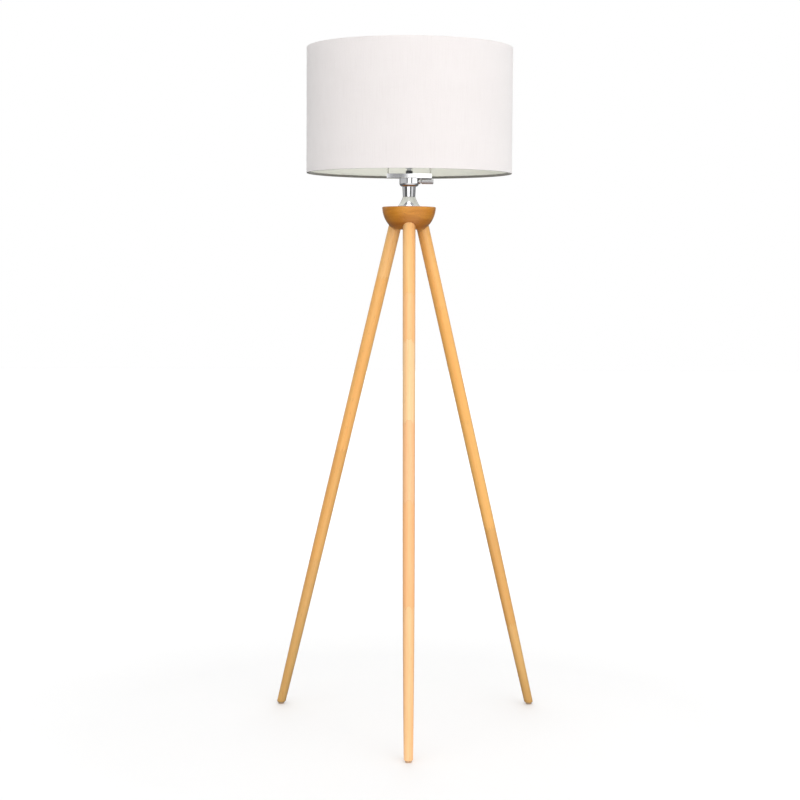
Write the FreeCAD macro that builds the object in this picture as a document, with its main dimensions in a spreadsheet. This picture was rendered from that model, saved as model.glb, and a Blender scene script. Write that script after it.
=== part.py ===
import FreeCAD, Part
import math
import os
import Sketcher

# Tripod floor lamp: a turned wooden hub on three tapered legs, a chrome stem with a rotary
# switch, a harp that carries a drum shade, a lampholder and its bulb.
# Frame: millimetres, +Z up, the origin on the floor under the lamp's axis. The front leg points
# along -Y and the switch knob along +X.

DIMENSIONS = {
    # drum shade
    "lamp_height": 1516,
    "shade_height": 276,
    "shade_radius": 228.5,
    "fabric_thickness": 0.8,
    "liner_thickness": 0.7,
    "glue_gap": 0.05,
    "hem_thickness": 0.6,
    "hem_depth": 5,
    "ring_wire_radius": 1.3,
    "arm_radius": 1.5,
    "arm_slot_gap": 0.3,
    "washer_radius": 11,
    "washer_thickness": 2,
    "washer_hole": 3.4,
    "washer_gap": 0.1,
    "arm_start": 8.2,
    "arm_flat_end": 20,
    "arm_rise_end": 48,
    "arm_rise_drop": 4.5,
    "arm_bend": 8,
    # tripod
    "apex_height": 1255,
    "foot_circle": 340,
    "leg_start": 118,
    "leg_length": 1188,
    "leg_top_radius": 14.2,
    "leg_waist": 662,
    "leg_waist_radius": 13.2,
    "leg_calf": 882,
    "leg_calf_radius": 12.4,
    "leg_ankle": 1042,
    "leg_ankle_radius": 11.3,
    "leg_foot_radius": 9.9,
    "leg_foot_round": 3,
    "pad_radius": 6.8,
    "pad_thickness": 3.5,
    "socket_gap": 0.3,
    "socket_reach": 80,
    "stud_radius": 4,
    "stud_in_hub": 16.5,
    "stud_in_leg": 40,
    "insert_radius": 6,
    "insert_length": 18,
    "thread_gap": 0.05,
    "end_gap": 0.5,
    "floor_margin": 30,
    # hub
    "hub_top": 1166,
    "hub_radius": 60,
    "hub_depth": 50,
    "hub_floor_radius": 33.166,
    "hub_rim_radius": 59.981,
    "hub_rim_round": 1.5,
    "recess_radius": 12,
    "recess_depth": 11,
    # stem
    "stem_radius": 5,
    "stem_bore": 3.7,
    "stem_low": 1119,
    "stem_high": 1262,
    "stem_clearance": 0.2,
    "hub_washer_radius": 10.5,
    "hub_washer_thickness": 1.5,
    "nut_corner": 8.08,
    "nut_height": 4,
    "bushing_flange": 6.6,
    "bushing_flange_height": 2,
    "bushing_sleeve": 3.6,
    "bushing_bore": 3,
    "bushing_length": 14,
    # husk and neck
    "husk_radius": 25,
    "husk_lip": 2,
    "husk_lip_inside": 1.4,
    "husk_neck_radius": 14.2,
    "husk_height": 22,
    "husk_flare": 60,
    "sheet_metal": 1.2,
    "neck_low_radius": 14,
    "neck_high_radius": 15.2,
    "neck_top": 1211,
    # switch housing
    "housing_radius": 21.85,
    "housing_round": 7,
    "housing_inner_round": 5.8,
    "housing_top": 1229.5,
    "cover_thickness": 1.5,
    "spigot_depth": 1.3,
    "spigot_wall": 0.9,
    "spigot_gap": 0.15,
    "window_width": 6.8,
    "window_inset": 0.3,
    "window_start": 1,
    "window_low": 1214,
    "window_height": 16,
    # rotary switch, along +X at switch_height
    "switch_height": 1223.5,
    "switch_inner_face": 6.5,
    "switch_outer_face": 17,
    "switch_half_width": 8.5,
    "switch_half_height": 5.9,
    "bush_radius": 4.5,
    "bush_end": 26,
    "bush_hole_gap": 0.3,
    "switch_nut_radius": 6.8,
    "switch_nut_start": 22.2,
    "switch_nut_thickness": 3,
    "shaft_radius": 3,
    "shaft_start": 10,
    "shaft_end": 46,
    "running_gap": 0.05,
    "cam_radius": 4.6,
    "cam_length": 4,
    "knob_radius": 6.5,
    "knob_start": 27,
    "knob_end": 54,
    "knob_round": 2.5,
    "flute_radius": 1.2,
    "flute_circle": 7.2,
    # harp
    "saddle_length": 100,
    "saddle_width": 18,
    "saddle_height": 8.7,
    "saddle_nut_corner": 7.8,
    "saddle_nut_height": 7,
    "harp_wire_radius": 1.9,
    "harp_half_width": 47,
    "harp_low": 1235.5,
    "harp_high": 1486,
    "harp_bend": 36,
    "harp_gap": 0.1,
    "seat_radius": 6,
    "seat_low": 1481,
    "seat_high": 1490,
    "seat_hole_gap": 0.15,
    "finial_stud_radius": 3.1,
    "finial_stud_top": 1507,
    # finial
    "finial_collar_radius": 6.5,
    "finial_collar_height": 5,
    "finial_neck_radius": 4.4,
    "finial_neck_height": 3,
    "finial_ball_radius": 6.8,
    "finial_ball_height": 1505,
    "finial_bore": 3.2,
    "finial_bore_top": 1508,
    # lampholder
    "holder_low": 1254,
    "holder_boss_radius": 9,
    "holder_boss_height": 2,
    "holder_radius": 20,
    "holder_shoulder": 1268,
    "holder_split": 1276,
    "holder_high": 1312,
    "holder_wall": 1.8,
    "holder_floor": 7.5,
    "holder_inner_foot": 8,
    "holder_inner_shoulder": 1269,
    "jam_nut_height": 3,
    "block_radius": 17.8,
    "block_gap": 0.2,
    "block_height": 8,
    "screw_shell_radius": 14,
    "screw_shell_bore": 13.4,
    "screw_shell_floor_hole": 6,
    "screw_shell_height": 24,
    "strip_brass": 0.7,
    "contact_half_length": 5,
    "contact_width": 6,
    "contact_rise": 5.4,
    "contact_tongue": 8,
    "terminal_offset": 11,
    "terminal_head_radius": 3.2,
    "terminal_head_height": 2.6,
    "terminal_shank_radius": 1.7,
    "terminal_shank_length": 6.9,
    "terminal_depth": 7.3,
    # internal leads
    "lead_radius": 1.1,
    "lead_offset": 1.8,
    "lead_low": 1134,
    "lead_bend": 3,
    "lead_loop": 12.5,
    "lead_switch_offset": 11.5,
    "lead_entry_gap": 0.1,
    "lead_supply_height": 1219.5,
    "lead_load_height": 1227.6,
    "lead_spread_height": 1266,
    "lead_top": 1273.2,
    # bulb
    "bulb_tip_height": 1290,
    "bulb_tip_radius": 4.5,
    "bulb_tip_thickness": 0.6,
    "bulb_insulator_radius": 8.9,
    "bulb_insulator_thickness": 2,
    "bulb_base_radius": 13.1,
    "bulb_base_wall": 0.5,
    "bulb_base_low": 1292,
    "bulb_base_high": 1314,
    "bulb_neck_radius": 14.2,
    "bulb_rim_radius": 24,
    "bulb_rim_height": 1352,
    "bulb_wall": 1.4,
    "bulb_wire_hole": 8,
    "bulb_globe_radius": 30,
    "bulb_globe_inner": 28.8,
    "bulb_globe_inner_rim": 22.483,
    "bulb_globe_centre": 1370,
    "board_height": 1347,
    "board_radius": 20.9,
    "board_thickness": 1.6,
    # how far a cutting tool runs past the piece that it cuts
    "spare": 2,
}

FRONT, RIGHT, LEFT = -90, 30, 150
SPIDER_TURNS = (90, 210, 330)
HEX = 6
KNOB_FLUTES = 12

doc = FreeCAD.newDocument("tripod_floor_lamp")
sheet = doc.addObject("Spreadsheet::Sheet", "dims")
for row, (alias, size) in enumerate(DIMENSIONS.items(), start=1):
    sheet.set("A%d" % row, alias)
    sheet.set("B%d" % row, str(size))
    sheet.setAlias("B%d" % row, alias)
doc.recompute()

nodes = []


# Sizes are written as sums of the sheet's aliases, such as "hub_top - hub_depth".

def formula(text):
    """The text as an expression on the sheet's cells."""
    return " ".join("dims." + word if word in DIMENSIONS else word for word in text.split())


def value(text):
    """The text's value, read from the sheet."""
    total = 0.0
    sign = 1
    for word in text.split():
        if word in "+-":
            sign = 1 if word == "+" else -1
        else:
            total += sign * float(sheet.get(word) if word in DIMENSIONS else word)
    return total


def bind(obj, **sizes):
    for name, text in sizes.items():
        obj.setExpression(name, formula(text))
    return obj


def move(obj, x=None, y=None, z=None):
    for axis, text in (("x", x), ("y", y), ("z", z)):
        if text is not None:
            obj.setExpression("Placement.Base." + axis, formula(text))
    return obj


def node(obj, label):
    """Marks an object as a finished sub-part, written to its own file."""
    obj.Label = label
    nodes.append(obj)
    return obj


def origin_plane(body, role):
    return next(plane for plane in body.Origin.OriginFeatures if plane.Role == role)


def arc_middle(start, end, radius, bulge):
    """The middle of the arc from start to end whose centre is on the left if bulge is 1, else the right."""
    chord = end - start
    half = chord.Length / 2
    left = FreeCAD.Vector(-chord.y, chord.x, 0).normalize()
    rise = radius - math.sqrt(radius * radius - half * half)
    return (start + end) * 0.5 - left * (bulge * rise)


def outline(sketch, corners):
    """Draws a closed outline and locks it to the sheet. A corner is (across, up) or, where an arc
    arrives at it, (across, up, radius), with a minus before the radius of a hollow arc. Outlines
    run anticlockwise."""
    points = [FreeCAD.Vector(value(c[0]), value(c[1]), 0) for c in corners]
    ends = []
    for i, corner in enumerate(corners):
        start, end = points[i - 1], points[i]
        if len(corner) == 2:
            index = sketch.addGeometry(Part.LineSegment(start, end), False)
            ends.append((index, 1, 2))
            continue
        hollow = corner[2].startswith("-")
        size = corner[2].lstrip("- ")
        middle = arc_middle(start, end, value(size), -1 if hollow else 1)
        index = sketch.addGeometry(Part.Arc(start, middle, end), False)
        first = (sketch.getPoint(index, 1) - start).Length < (sketch.getPoint(index, 2) - start).Length
        ends.append((index, 1, 2) if first else (index, 2, 1))
        radius = sketch.addConstraint(Sketcher.Constraint("Radius", index, value(size)))
        sketch.setExpression("Constraints[%d]" % radius, formula(size))
    for i, corner in enumerate(corners):
        index, _, last = ends[i]
        following, first, _ = ends[(i + 1) % len(ends)]
        sketch.addConstraint(Sketcher.Constraint("Coincident", index, last, following, first))
        for kind, axis, text in (("DistanceX", -2, corner[0]), ("DistanceY", -1, corner[1])):
            if value(text) == 0:
                sketch.addConstraint(Sketcher.Constraint("PointOnObject", index, last, axis))
            else:
                lock = sketch.addConstraint(
                    Sketcher.Constraint(kind, -1, 1, index, last, value(text)))
                sketch.setExpression("Constraints[%d]" % lock, formula(text))


def sketch_on(body, role, label):
    sketch = body.newObject("Sketcher::SketchObject", label)
    sketch.AttachmentSupport = [(origin_plane(body, role), "")]
    sketch.MapMode = "FlatFace"
    return sketch


def turned(name, corners, placement=None):
    """A body turned about its Z axis, from (radius, height) corners."""
    body = doc.addObject("PartDesign::Body", name)
    sketch = sketch_on(body, "XZ_Plane", name + "_profile")
    outline(sketch, corners)
    revolution = body.newObject("PartDesign::Revolution", name + "_turning")
    revolution.Profile = (sketch, [""])
    revolution.ReferenceAxis = (sketch, ["V_Axis"])
    revolution.Angle = 360
    sketch.Visibility = False
    if placement is not None:
        body.Placement = placement
    return body


def tube(name, bore, radius, low, high, placement=None):
    """A turned ring or tube; a bore of 0 makes a solid disc or rod."""
    corners = [(bore, low), (radius, low), (radius, high), (bore, high)]
    return turned(name, corners, placement)


def padded(name, role, corners, length):
    """A body pushed out both ways from an origin plane."""
    body = doc.addObject("PartDesign::Body", name)
    sketch = sketch_on(body, role, name + "_profile")
    outline(sketch, corners)
    pad = body.newObject("PartDesign::Pad", name + "_pad")
    pad.Profile = (sketch, [""])
    bind(pad, Length=length)
    pad.Midplane = True
    sketch.Visibility = False
    return body


def cut(name, base, *tools):
    """The base less every tool."""
    for i, tool in enumerate(tools):
        last = i == len(tools) - 1
        result = doc.addObject("Part::Cut", name if last else "%s_cut_%d" % (name, i + 1))
        result.Base = base
        result.Tool = tool
        base = result
    return base


def group(name, shapes, kind="Part::Compound"):
    """Identical pieces in one sub-part, or welded pieces with kind Part::MultiFuse."""
    result = doc.addObject(kind, name)
    if kind == "Part::Compound":
        result.Links = shapes
    else:
        result.Shapes = shapes
    return result


def hex_nut(name, corner, bore, low, height):
    blank = doc.addObject("Part::Prism", name + "_blank")
    blank.Polygon = HEX
    bind(blank, Circumradius=corner, Height=height)
    move(blank, z=low)
    hole = tube(name + "_hole", "0", bore, low + " - spare", low + " + " + height + " + spare")
    return cut(name, blank, hole)


def rod(name, points, bend, radius):
    """A round rod or wire through the points, straight between them, its corners rounded to bend."""
    edges = []
    start = points[0]
    for before, corner, after in zip(points, points[1:], points[2:]):
        into = (corner - before).normalize()
        out = (after - corner).normalize()
        half = into.getAngle(out) / 2
        reach = bend * math.tan(half)
        inward = (out - into).normalize()
        middle = corner + inward * (bend / math.cos(half) - bend)
        edges.append(Part.LineSegment(start, corner - into * reach).toShape())
        edges.append(Part.Arc(corner - into * reach, middle, corner + out * reach).toShape())
        start = corner + out * reach
    edges.append(Part.LineSegment(start, points[-1]).toShape())
    path = doc.addObject("Part::Feature", name + "_path")
    path.Shape = Part.Wire(edges)
    section = doc.addObject("Part::Circle", name + "_section")
    bind(section, Radius=radius)
    aim = FreeCAD.Rotation(FreeCAD.Vector(0, 0, 1), points[1] - points[0])
    section.Placement = FreeCAD.Placement(points[0], aim)
    sweep = doc.addObject("Part::Sweep", name)
    sweep.Sections = [section]
    sweep.Spine = (path, ["Edge%d" % (i + 1) for i in range(len(edges))])
    sweep.Solid = True
    return sweep


def point(x, y, z):
    return FreeCAD.Vector(value(x), value(y), value(z))


def leg_placement(turn):
    """The frame of a leg: its origin where the three leg axes meet above the hub, +Z down the leg."""
    tilt = math.atan2(value("foot_circle"), value("apex_height"))
    azimuth = math.radians(turn)
    down = FreeCAD.Vector(
        math.sin(tilt) * math.cos(azimuth), math.sin(tilt) * math.sin(azimuth), -math.cos(tilt))
    return FreeCAD.Placement(point("0", "0", "apex_height"), FreeCAD.Rotation(FreeCAD.Vector(0, 0, 1), down))


def switch_placement():
    """The frame of the rotary switch: its Z axis along the lamp's +X."""
    return FreeCAD.Placement(
        point("0", "0", "switch_height"), FreeCAD.Rotation(FreeCAD.Vector(0, 1, 0), 90))


def foot_edges(shape, height):
    """The edges of a leg's level end."""
    found = []
    for i, edge in enumerate(shape.Edges, start=1):
        box = edge.BoundBox
        if abs(box.ZMin - height) < 0.01 and abs(box.ZMax - height) < 0.01:
            found.append(i)
    return found


# ---- tripod ----

def make_leg(label, turn):
    placement = leg_placement(turn)
    blank = turned(label + "_blank", [
        ("stud_radius + thread_gap", "leg_start"),
        ("leg_top_radius", "leg_start"),
        ("leg_waist_radius", "leg_start + leg_waist"),
        ("leg_calf_radius", "leg_start + leg_calf"),
        ("leg_ankle_radius", "leg_start + leg_ankle"),
        ("leg_foot_radius", "leg_start + leg_length"),
        ("0", "leg_start + leg_length"),
        ("0", "leg_start + stud_in_leg + end_gap"),
        ("stud_radius + thread_gap", "leg_start + stud_in_leg + end_gap"),
    ], placement)
    floor = doc.addObject("Part::Box", label + "_floor")
    across = "foot_circle + foot_circle + floor_margin + floor_margin"
    bind(floor, Length=across, Width=across, Height="pad_thickness + floor_margin")
    move(floor, x="0 - foot_circle - floor_margin", y="0 - foot_circle - floor_margin", z="0 - floor_margin")
    level = cut(label + "_level", blank, floor)
    doc.recompute()
    rounded = doc.addObject("Part::Fillet", label)
    rounded.Base = level
    size = value("leg_foot_round")
    rounded.Edges = [(i, size, size) for i in foot_edges(level.Shape, value("pad_thickness"))]
    node(rounded, label)


def make_foot_pad(label, turn):
    azimuth = math.radians(turn)
    reach = value("foot_circle") * (1 - value("pad_thickness") / value("apex_height"))
    centre = FreeCAD.Vector(reach * math.cos(azimuth), reach * math.sin(azimuth), 0)
    pad = doc.addObject("Part::Cylinder", label)
    bind(pad, Radius="pad_radius", Height="pad_thickness")
    pad.Placement = FreeCAD.Placement(centre, FreeCAD.Rotation())
    node(pad, label)


def make_leg_fasteners():
    studs = []
    inserts = []
    for i, turn in enumerate((FRONT, RIGHT, LEFT)):
        placement = leg_placement(turn)
        studs.append(tube("leg_stud_%d" % i, "0", "stud_radius",
                          "leg_start - stud_in_hub", "leg_start + stud_in_leg", placement))
        inserts.append(tube("leg_insert_%d" % i, "stud_radius + thread_gap", "insert_radius",
                            "leg_start - insert_length", "leg_start", placement))
    node(group("leg_studs", studs), "leg_studs")
    node(group("leg_inserts", inserts), "leg_inserts")


def make_hub():
    blank = turned("hub_blank", [
        ("stem_radius + stem_clearance", "hub_top - hub_depth + recess_depth"),
        ("recess_radius", "hub_top - hub_depth + recess_depth"),
        ("recess_radius", "hub_top - hub_depth"),
        ("hub_floor_radius", "hub_top - hub_depth"),
        ("hub_rim_radius", "hub_top - hub_rim_round", "hub_radius"),
        ("hub_rim_radius - hub_rim_round", "hub_top", "hub_rim_round"),
        ("stem_radius + stem_clearance", "hub_top"),
    ])
    sockets = []
    for i, turn in enumerate((FRONT, RIGHT, LEFT)):
        sockets.append(turned("hub_socket_%d" % i, [
            ("0", "leg_start - insert_length - end_gap"),
            ("insert_radius + thread_gap", "leg_start - insert_length - end_gap"),
            ("insert_radius + thread_gap", "leg_start"),
            ("leg_top_radius + socket_gap", "leg_start"),
            ("leg_top_radius + socket_gap", "leg_start + socket_reach"),
            ("0", "leg_start + socket_reach"),
        ], leg_placement(turn)))
    node(cut("hub_bowl", blank, *sockets), "hub_bowl")


# ---- stem ----

def make_stem():
    pipe = tube("stem_pipe", "stem_bore", "stem_radius", "stem_low", "stem_high")
    window = doc.addObject("Part::Box", "stem_window")
    bind(window, Length="window_width", Width="stem_radius", Height="window_height")
    move(window, x="0 - stem_bore + window_inset", y="window_start", z="window_low")
    node(cut("threaded_stem", pipe, window), "threaded_stem")

    recess_top = "hub_top - hub_depth + recess_depth"
    node(tube("hub_washer", "stem_radius + stem_clearance", "hub_washer_radius",
              recess_top + " - hub_washer_thickness", recess_top), "hub_washer")
    node(hex_nut("hub_nut", "nut_corner", "stem_radius + thread_gap",
                 recess_top + " - hub_washer_thickness - nut_height", "nut_height"), "hub_nut")
    node(turned("cord_bushing", [
        ("bushing_bore", "stem_low - bushing_flange_height"),
        ("bushing_flange", "stem_low - bushing_flange_height"),
        ("bushing_flange", "stem_low"),
        ("bushing_sleeve", "stem_low"),
        ("bushing_sleeve", "stem_low - bushing_flange_height + bushing_length"),
        ("bushing_bore", "stem_low - bushing_flange_height + bushing_length"),
    ]), "cord_bushing")


def make_husk_and_neck():
    node(turned("husk_cone", [
        ("husk_radius - sheet_metal", "hub_top"),
        ("husk_radius", "hub_top"),
        ("husk_radius", "hub_top + husk_lip"),
        ("husk_neck_radius", "hub_top + husk_height", "- husk_flare"),
        ("stem_radius + stem_clearance", "hub_top + husk_height"),
        ("stem_radius + stem_clearance", "hub_top + husk_height - sheet_metal"),
        ("husk_neck_radius - sheet_metal", "hub_top + husk_height - sheet_metal"),
        ("husk_radius - sheet_metal", "hub_top + husk_lip_inside", "husk_flare + sheet_metal"),
    ]), "husk_cone")
    node(turned("neck_tube", [
        ("neck_low_radius - sheet_metal", "hub_top + husk_height"),
        ("neck_low_radius", "hub_top + husk_height"),
        ("neck_high_radius", "neck_top"),
        ("neck_high_radius - sheet_metal", "neck_top"),
    ]), "neck_tube")


def make_switch_housing():
    cup = turned("switch_cup", [
        ("stem_radius + stem_clearance", "neck_top"),
        ("housing_radius - housing_round", "neck_top"),
        ("housing_radius", "neck_top + housing_round", "housing_round"),
        ("housing_radius", "housing_top"),
        ("housing_radius - sheet_metal", "housing_top"),
        ("housing_radius - sheet_metal", "neck_top + housing_round"),
        ("housing_radius - housing_round", "neck_top + sheet_metal", "- housing_inner_round"),
        ("stem_radius + stem_clearance", "neck_top + sheet_metal"),
    ])
    side_hole = tube("switch_side_hole", "0", "bush_radius + bush_hole_gap",
                     "switch_outer_face", "bush_end", switch_placement())
    node(cut("switch_housing", cup, side_hole), "switch_housing")
    node(turned("switch_cover", [
        ("stem_radius + stem_clearance", "housing_top"),
        ("housing_radius - sheet_metal - spigot_gap - spigot_wall", "housing_top"),
        ("housing_radius - sheet_metal - spigot_gap - spigot_wall", "housing_top - spigot_depth"),
        ("housing_radius - sheet_metal - spigot_gap", "housing_top - spigot_depth"),
        ("housing_radius - sheet_metal - spigot_gap", "housing_top"),
        ("housing_radius", "housing_top"),
        ("housing_radius", "housing_top + cover_thickness"),
        ("stem_radius + stem_clearance", "housing_top + cover_thickness"),
    ]), "switch_cover")


def make_rotary_switch():
    frame = switch_placement()
    block = doc.addObject("Part::Box", "switch_block")
    bind(block, Length="switch_outer_face - switch_inner_face",
         Width="switch_half_width + switch_half_width",
         Height="switch_half_height + switch_half_height")
    move(block, x="switch_inner_face", y="0 - switch_half_width", z="switch_height - switch_half_height")
    cavity = turned("switch_cavity", [
        ("0", "shaft_start - end_gap"),
        ("cam_radius + socket_gap", "shaft_start - end_gap"),
        ("cam_radius + socket_gap", "shaft_start + cam_length + end_gap"),
        ("shaft_radius + running_gap", "shaft_start + cam_length + end_gap"),
        ("shaft_radius + running_gap", "switch_outer_face + spare"),
        ("0", "switch_outer_face + spare"),
    ], frame)
    node(cut("switch_body", block, cavity), "switch_body")
    node(tube("switch_bush", "shaft_radius + running_gap", "bush_radius",
              "switch_outer_face", "bush_end", frame), "switch_bush")
    node(tube("switch_nut", "bush_radius + thread_gap", "switch_nut_radius",
              "switch_nut_start", "switch_nut_start + switch_nut_thickness", frame), "switch_nut")
    node(tube("switch_shaft", "0", "shaft_radius", "shaft_start", "shaft_end", frame), "switch_shaft")
    node(tube("switch_cam", "shaft_radius + running_gap", "cam_radius",
              "shaft_start", "shaft_start + cam_length", frame), "switch_cam")
    make_knob(frame)


def make_knob(frame):
    knob = turned("switch_knob", [
        ("shaft_radius + running_gap", "knob_start"),
        ("knob_radius", "knob_start"),
        ("knob_radius", "knob_end - knob_round"),
        ("knob_radius - knob_round", "knob_end", "knob_round"),
        ("0", "knob_end"),
        ("0", "shaft_end + end_gap"),
        ("shaft_radius + running_gap", "shaft_end + end_gap"),
    ], frame)
    sketch = sketch_on(knob, "XY_Plane", "knob_flute_profile")
    centre = FreeCAD.Vector(value("flute_circle"), 0, 0)
    flute = sketch.addGeometry(
        Part.Circle(centre, FreeCAD.Vector(0, 0, 1), value("flute_radius")), False)
    radius = sketch.addConstraint(Sketcher.Constraint("Radius", flute, value("flute_radius")))
    sketch.setExpression("Constraints[%d]" % radius, formula("flute_radius"))
    reach = sketch.addConstraint(
        Sketcher.Constraint("DistanceX", -1, 1, flute, 3, value("flute_circle")))
    sketch.setExpression("Constraints[%d]" % reach, formula("flute_circle"))
    sketch.addConstraint(Sketcher.Constraint("PointOnObject", flute, 3, -1))
    groove = knob.newObject("PartDesign::Pocket", "knob_flute")
    groove.Profile = (sketch, [""])
    groove.Type = "ThroughAll"
    groove.Reversed = True
    pattern = knob.newObject("PartDesign::PolarPattern", "knob_flutes")
    pattern.Originals = [groove]
    pattern.Axis = (sketch, ["N_Axis"])
    pattern.Angle = 360
    pattern.Occurrences = KNOB_FLUTES
    knob.Tip = pattern
    node(knob, "switch_knob")


# ---- harp ----

def make_harp():
    low = "housing_top + cover_thickness"
    saddle = padded("saddle_channel", "YZ_Plane", [
        ("0", low),
        ("sheet_metal", low),
        ("sheet_metal", low + " + saddle_height - sheet_metal"),
        ("saddle_width - sheet_metal", low + " + saddle_height - sheet_metal"),
        ("saddle_width - sheet_metal", low),
        ("saddle_width", low),
        ("saddle_width", low + " + saddle_height"),
        ("0", low + " + saddle_height"),
    ], "saddle_length")
    saddle.setExpression("Placement.Base.y", "-dims.saddle_width / 2")
    holes = [tube("saddle_stem_hole", "0", "stem_radius + stem_clearance",
                  low, low + " + saddle_height + spare")]
    for side, offset in (("left", "0 - harp_half_width"), ("right", "harp_half_width")):
        hole = doc.addObject("Part::Cylinder", "saddle_hole_" + side)
        bind(hole, Radius="harp_wire_radius + harp_gap", Height="saddle_height + spare")
        holes.append(move(hole, x=offset, z=low))
    node(cut("harp_saddle", saddle, *holes), "harp_saddle")
    node(hex_nut("saddle_nut", "saddle_nut_corner", "stem_radius + thread_gap",
                 low + " + saddle_height", "saddle_nut_height"), "saddle_nut")
    node(rod("harp", [
        point("0 - harp_half_width", "0", "harp_low"),
        point("0 - harp_half_width", "0", "harp_high"),
        point("harp_half_width", "0", "harp_high"),
        point("harp_half_width", "0", "harp_low"),
    ], value("harp_bend"), "harp_wire_radius"), "harp")
    seat = turned("seat_blank", [
        ("0", "seat_low"),
        ("seat_radius", "seat_low"),
        ("seat_radius", "seat_high"),
        ("finial_stud_radius", "seat_high"),
        ("finial_stud_radius", "finial_stud_top"),
        ("0", "finial_stud_top"),
    ])
    cross_hole = doc.addObject("Part::Cylinder", "seat_cross_hole")
    bind(cross_hole, Radius="harp_wire_radius + seat_hole_gap",
         Height="seat_radius + seat_radius + spare + spare")
    cross_hole.Placement = FreeCAD.Placement(
        FreeCAD.Vector(), FreeCAD.Rotation(FreeCAD.Vector(0, 1, 0), 90))
    move(cross_hole, x="0 - seat_radius - spare", z="harp_high")
    node(cut("harp_seat", seat, cross_hole), "harp_seat")


# ---- lampholder ----

def make_lampholder():
    node(hex_nut("lampholder_nut", "nut_corner", "stem_radius + thread_gap",
                 "holder_low - jam_nut_height", "jam_nut_height"), "lampholder_nut")
    node(turned("lampholder_cap", [
        ("stem_radius + thread_gap", "holder_low"),
        ("holder_boss_radius", "holder_low"),
        ("holder_boss_radius", "holder_low + holder_boss_height"),
        ("holder_radius", "holder_shoulder"),
        ("holder_radius", "holder_split"),
        ("holder_radius - holder_wall", "holder_split"),
        ("holder_radius - holder_wall", "holder_inner_shoulder"),
        ("holder_inner_foot", "holder_low + holder_floor"),
        ("stem_radius + thread_gap", "holder_low + holder_floor"),
    ]), "lampholder_cap")
    node(tube("lampholder_body", "holder_radius - holder_wall", "holder_radius",
              "holder_split", "holder_high"), "lampholder_body")
    block = tube("holder_block_blank", "0", "block_radius",
                 "holder_split + block_gap", "holder_split + block_height")
    screws = []
    bores = []
    for side, offset in (("left", "0 - terminal_offset"), ("right", "terminal_offset")):
        bore = doc.addObject("Part::Cylinder", "terminal_bore_" + side)
        bind(bore, Radius="terminal_shank_radius + harp_gap", Height="terminal_depth + spare")
        bores.append(move(bore, x=offset, z="holder_split - spare"))
        head = "holder_split - terminal_head_height"
        screw = turned("terminal_screw_" + side, [
            ("0", head),
            ("terminal_head_radius", head),
            ("terminal_head_radius", "holder_split"),
            ("terminal_shank_radius", "holder_split"),
            ("terminal_shank_radius", "holder_split + terminal_shank_length"),
            ("0", "holder_split + terminal_shank_length"),
        ])
        screws.append(move(screw, x=offset))
    node(cut("contact_block", block, *bores), "contact_block")
    node(group("terminal_screws", screws), "terminal_screws")
    floor = "holder_split + block_height"
    node(turned("screw_shell", [
        ("screw_shell_floor_hole", floor),
        ("screw_shell_radius", floor),
        ("screw_shell_radius", floor + " + screw_shell_height"),
        ("screw_shell_bore", floor + " + screw_shell_height"),
        ("screw_shell_bore", floor + " + strip_brass"),
        ("screw_shell_floor_hole", floor + " + strip_brass"),
    ]), "screw_shell")
    contact = padded("centre_contact", "XZ_Plane", [
        ("0", floor),
        ("contact_half_length + contact_half_length", floor),
        ("contact_half_length + contact_half_length", floor + " + strip_brass"),
        ("strip_brass", floor + " + strip_brass"),
        ("strip_brass", floor + " + contact_rise - strip_brass"),
        ("contact_tongue", floor + " + contact_rise - strip_brass"),
        ("contact_tongue", floor + " + contact_rise"),
        ("0", floor + " + contact_rise"),
    ], "contact_width")
    node(move(contact, x="0 - contact_half_length"), "centre_contact")


def make_leads():
    bend = value("lead_bend")
    into_switch = "switch_half_width + lead_entry_gap"
    node(rod("live_supply_lead", [
        point("lead_offset", "0", "lead_low"),
        point("lead_offset", "0", "lead_supply_height"),
        point("lead_offset", "lead_loop", "lead_supply_height"),
        point("lead_switch_offset", "lead_loop", "lead_supply_height"),
        point("lead_switch_offset", into_switch, "lead_supply_height"),
    ], bend, "lead_radius"), "live_supply_lead")
    node(rod("live_switched_lead", [
        point("lead_switch_offset", into_switch, "lead_load_height"),
        point("lead_switch_offset", "lead_loop", "lead_load_height"),
        point("lead_offset", "lead_loop", "lead_load_height"),
        point("lead_offset", "0", "lead_load_height"),
        point("lead_offset", "0", "lead_spread_height"),
        point("terminal_offset", "0", "lead_spread_height"),
        point("terminal_offset", "0", "lead_top"),
    ], bend, "lead_radius"), "live_switched_lead")
    node(rod("neutral_lead", [
        point("0 - lead_offset", "0", "lead_low"),
        point("0 - lead_offset", "0", "lead_spread_height"),
        point("0 - terminal_offset", "0", "lead_spread_height"),
        point("0 - terminal_offset", "0", "lead_top"),
    ], bend, "lead_radius"), "neutral_lead")


# ---- bulb ----

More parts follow.
